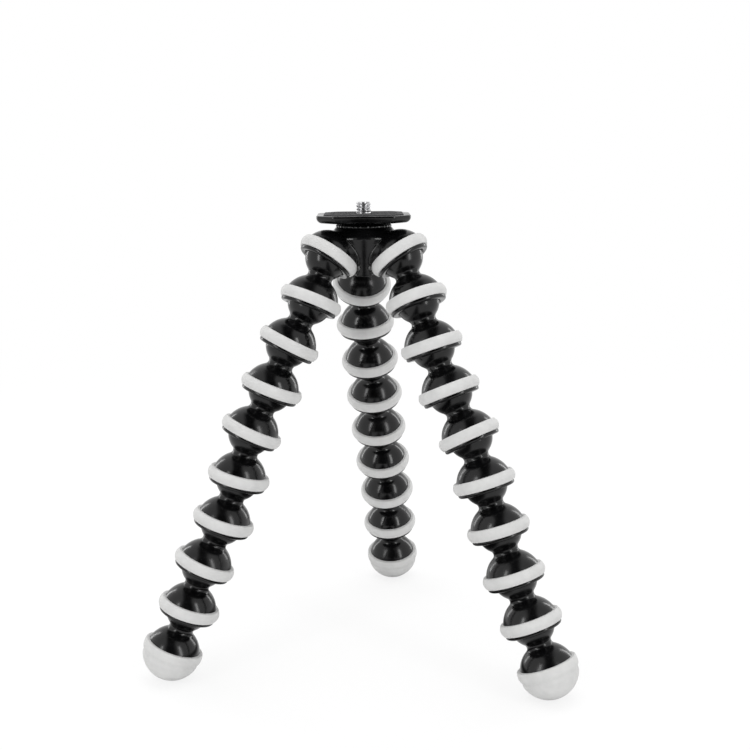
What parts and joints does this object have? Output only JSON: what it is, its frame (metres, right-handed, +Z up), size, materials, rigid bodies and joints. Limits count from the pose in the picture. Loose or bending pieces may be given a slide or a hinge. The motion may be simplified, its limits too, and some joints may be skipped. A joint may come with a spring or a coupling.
{
  "type": "flexible leg tripod",
  "caption": "Tabletop camera tripod with flexible legs made of ball-and-socket links, pale rubber grip rings and feet, and a quick-release plate with a camera screw.",
  "frame": {"origin": "on the camera screw's axis, level with the top of the plate's pad", "axes": "+Z up along the camera screw, +X to the right and +Y to the rear leg, as seen from the front"},
  "size_m": [0.1857, 0.1676, 0.2037],
  "materials": {
    "black_plastic": "glossy moulded",
    "pale_rubber": "matte moulded",
    "dark_rubber": "matte moulded",
    "steel": "turned"
  },
  "bodies": {
    "hub": {"hub": "black_plastic", "hub_grip_rings": "pale_rubber"},
    "locking_ring": {"locking_ring": "black_plastic"},
    "plate": {"quick_release_plate": "black_plastic", "plate_pad": "dark_rubber"},
    "screw": {"camera_screw": "steel"},
    "left_link_1": {"left_leg_link_1": "black_plastic", "left_leg_ring_1": "pale_rubber"},
    "left_link_2": {"left_leg_link_2": "black_plastic", "left_leg_ring_2": "pale_rubber"},
    "left_link_3": {"left_leg_link_3": "black_plastic", "left_leg_ring_3": "pale_rubber"},
    "left_link_4": {"left_leg_link_4": "black_plastic", "left_leg_ring_4": "pale_rubber"},
    "left_link_5": {"left_leg_link_5": "black_plastic", "left_leg_ring_5": "pale_rubber"},
    "left_link_6": {"left_leg_link_6": "black_plastic", "left_leg_ring_6": "pale_rubber"},
    "left_link_7": {"left_leg_link_7": "black_plastic", "left_leg_ring_7": "pale_rubber"},
    "left_link_8": {"left_leg_link_8": "black_plastic", "left_leg_ring_8": "pale_rubber"},
    "left_foot": {"left_leg_foot_link": "black_plastic", "left_leg_foot_cap": "pale_rubber"},
    "right_link_1": {"right_leg_link_1": "black_plastic", "right_leg_ring_1": "pale_rubber"},
    "right_link_2": {"right_leg_link_2": "black_plastic", "right_leg_ring_2": "pale_rubber"},
    "right_link_3": {"right_leg_link_3": "black_plastic", "right_leg_ring_3": "pale_rubber"},
    "right_link_4": {"right_leg_link_4": "black_plastic", "right_leg_ring_4": "pale_rubber"},
    "right_link_5": {"right_leg_link_5": "black_plastic", "right_leg_ring_5": "pale_rubber"},
    "right_link_6": {"right_leg_link_6": "black_plastic", "right_leg_ring_6": "pale_rubber"},
    "right_link_7": {"right_leg_link_7": "black_plastic", "right_leg_ring_7": "pale_rubber"},
    "right_link_8": {"right_leg_link_8": "black_plastic", "right_leg_ring_8": "pale_rubber"},
    "right_foot": {"right_leg_foot_link": "black_plastic", "right_leg_foot_cap": "pale_rubber"},
    "rear_link_1": {"rear_leg_link_1": "black_plastic", "rear_leg_ring_1": "pale_rubber"},
    "rear_link_2": {"rear_leg_link_2": "black_plastic", "rear_leg_ring_2": "pale_rubber"},
    "rear_link_3": {"rear_leg_link_3": "black_plastic", "rear_leg_ring_3": "pale_rubber"},
    "rear_link_4": {"rear_leg_link_4": "black_plastic", "rear_leg_ring_4": "pale_rubber"},
    "rear_link_5": {"rear_leg_link_5": "black_plastic", "rear_leg_ring_5": "pale_rubber"},
    "rear_link_6": {"rear_leg_link_6": "black_plastic", "rear_leg_ring_6": "pale_rubber"},
    "rear_link_7": {"rear_leg_link_7": "black_plastic", "rear_leg_ring_7": "pale_rubber"},
    "rear_link_8": {"rear_leg_link_8": "black_plastic", "rear_leg_ring_8": "pale_rubber"},
    "rear_foot": {"rear_leg_foot_link": "black_plastic", "rear_leg_foot_cap": "pale_rubber"}
  },
  "joints": [
    {"name": "locking_ring_turn", "type": "hinge", "parent": "hub", "child": "locking_ring", "pos_m": [0, 0, -0.00485], "axis": [0, 0, 1], "range_deg": [0, 60]},
    {"name": "plate_lift", "type": "slide", "parent": "hub", "child": "plate", "axis": [0, 0, 1], "range_m": [0, 0.03]},
    {"name": "camera_screw_turn", "type": "hinge", "parent": "plate", "child": "screw", "pos_m": [0, 0, 0], "axis": [0, 0, 1], "continuous": true},
    {"name": "left_ball_1", "type": "hinge", "parent": "hub", "child": "left_link_1", "pos_m": [-0.01559, -0.009, -0.0182], "axis": [-0.5299, 0.848, 0], "range_deg": [-21, 45]},
    {"name": "left_ball_2", "type": "hinge", "parent": "left_link_1", "child": "left_link_2", "pos_m": [-0.02321, -0.01376, -0.03663], "axis": [0.8448, 0.2264, -0.4848], "range_deg": [-41, 26]},
    {"name": "left_ball_3", "type": "hinge", "parent": "left_link_2", "child": "left_link_3", "pos_m": [-0.03281, -0.01633, -0.05455], "axis": [0.2588, -0.9659, 0], "range_deg": [-40, 28]},
    {"name": "left_ball_4", "type": "hinge", "parent": "left_link_3", "child": "left_link_4", "pos_m": [-0.04055, -0.01841, -0.07343], "axis": [-0.8606, -0.2306, 0.454], "range_deg": [-33, 33]},
    {"name": "left_ball_5", "type": "hinge", "parent": "left_link_4", "child": "left_link_5", "pos_m": [-0.04954, -0.02082, -0.09169], "axis": [-0.2588, 0.9659, 0], "range_deg": [-24, 44]},
    {"name": "left_ball_6", "type": "hinge", "parent": "left_link_5", "child": "left_link_6", "pos_m": [-0.05533, -0.02237, -0.1113], "axis": [0.9018, 0.2416, -0.3584], "range_deg": [-33, 33]},
    {"name": "left_ball_7", "type": "hinge", "parent": "left_link_6", "child": "left_link_7", "pos_m": [-0.06242, -0.02427, -0.13043], "axis": [0.2588, -0.9659, 0], "range_deg": [-29, 39]},
    {"name": "left_ball_8", "type": "hinge", "parent": "left_link_7", "child": "left_link_8", "pos_m": [-0.0711, -0.0266, -0.14886], "axis": [-0.9018, -0.2416, 0.3584], "range_deg": [-33, 33]},
    {"name": "left_ball_9", "type": "hinge", "parent": "left_link_8", "child": "left_foot", "pos_m": [-0.0782, -0.0285, -0.168], "axis": [-0.2588, 0.9659, 0], "range_deg": [-35, 32]},
    {"name": "right_ball_1", "type": "hinge", "parent": "hub", "child": "right_link_1", "pos_m": [0.01559, -0.009, -0.0182], "axis": [-0.7071, -0.7071, 0], "range_deg": [-22, 42]},
    {"name": "right_ball_2", "type": "hinge", "parent": "right_link_1", "child": "right_link_2", "pos_m": [0.02217, -0.01558, -0.03647], "axis": [-0.7501, 0.545, -0.3746], "range_deg": [-29, 37]},
    {"name": "right_ball_3", "type": "hinge", "parent": "right_link_2", "child": "right_link_3", "pos_m": [0.02838, -0.02009, -0.05547], "axis": [0.5878, 0.809, 0], "range_deg": [-31, 37]},
    {"name": "right_ball_4", "type": "hinge", "parent": "right_link_3", "child": "right_link_4", "pos_m": [0.03539, -0.02519, -0.07405], "axis": [0.7076, -0.5141, 0.4848], "range_deg": [-33, 33]},
    {"name": "right_ball_5", "type": "hinge", "parent": "right_link_4", "child": "right_link_5", "pos_m": [0.04343, -0.03103, -0.09198], "axis": [-0.5878, -0.809, 0], "range_deg": [-26, 42]},
    {"name": "right_ball_6", "type": "hinge", "parent": "right_link_5", "child": "right_link_6", "pos_m": [0.04938, -0.03535, -0.11112], "axis": [-0.7602, 0.5523, -0.342], "range_deg": [-33, 33]},
    {"name": "right_ball_7", "type": "hinge", "parent": "right_link_6", "child": "right_link_7", "pos_m": [0.05505, -0.03947, -0.13038], "axis": [0.5878, 0.809, 0], "range_deg": [-32, 36]},
    {"name": "right_ball_8", "type": "hinge", "parent": "right_link_7", "child": "right_link_8", "pos_m": [0.06126, -0.04398, -0.14939], "axis": [0.7391, -0.537, 0.4067], "range_deg": [-33, 33]},
    {"name": "right_ball_9", "type": "hinge", "parent": "right_link_8", "child": "right_foot", "pos_m": [0.06801, -0.04888, -0.16812], "axis": [-0.5878, -0.809, 0], "range_deg": [-33, 34]},
    {"name": "rear_ball_1", "type": "hinge", "parent": "hub", "child": "rear_link_1", "pos_m": [0, 0.018, -0.0182], "axis": [0.9945, 0.1045, 0], "range_deg": [-32, 34]},
    {"name": "rear_ball_2", "type": "hinge", "parent": "rear_link_1", "child": "rear_link_2", "pos_m": [-0.00129, 0.03027, -0.03457], "axis": [-0.2301, -0.9228, -0.309], "range_deg": [-42, 17]},
    {"name": "rear_ball_3", "type": "hinge", "parent": "rear_link_2", "child": "rear_link_3", "pos_m": [0.00024, 0.03642, -0.05407], "axis": [-0.9703, 0.2419, 0], "range_deg": [-28, 40]},
    {"name": "rear_ball_4", "type": "hinge", "parent": "rear_link_3", "child": "rear_link_4", "pos_m": [0.00226, 0.04451, -0.0728], "axis": [0.221, 0.8864, 0.4067], "range_deg": [-33, 33]},
    {"name": "rear_ball_5", "type": "hinge", "parent": "rear_link_4", "child": "rear_link_5", "pos_m": [0.00428, 0.0526, -0.09152], "axis": [0.9703, -0.2419, 0], "range_deg": [-33, 35]},
    {"name": "rear_ball_6", "type": "hinge", "parent": "rear_link_5", "child": "rear_link_6", "pos_m": [0.00622, 0.06037, -0.11039], "axis": [-0.221, -0.8864, -0.4067], "range_deg": [-33, 33]},
    {"name": "rear_ball_7", "type": "hinge", "parent": "rear_link_6", "child": "rear_link_7", "pos_m": [0.00823, 0.06846, -0.12912], "axis": [-0.9703, 0.2419, 0], "range_deg": [-32, 36]},
    {"name": "rear_ball_8", "type": "hinge", "parent": "rear_link_7", "child": "rear_link_8", "pos_m": [0.01041, 0.07718, -0.14755], "axis": [0.2314, 0.9279, 0.2924], "range_deg": [-32, 32]},
    {"name": "rear_ball_9", "type": "hinge", "parent": "rear_link_8", "child": "rear_foot", "pos_m": [0.01186, 0.08299, -0.16715], "axis": [0.9703, -0.2419, 0], "range_deg": [-32, 35]}
  ]
}
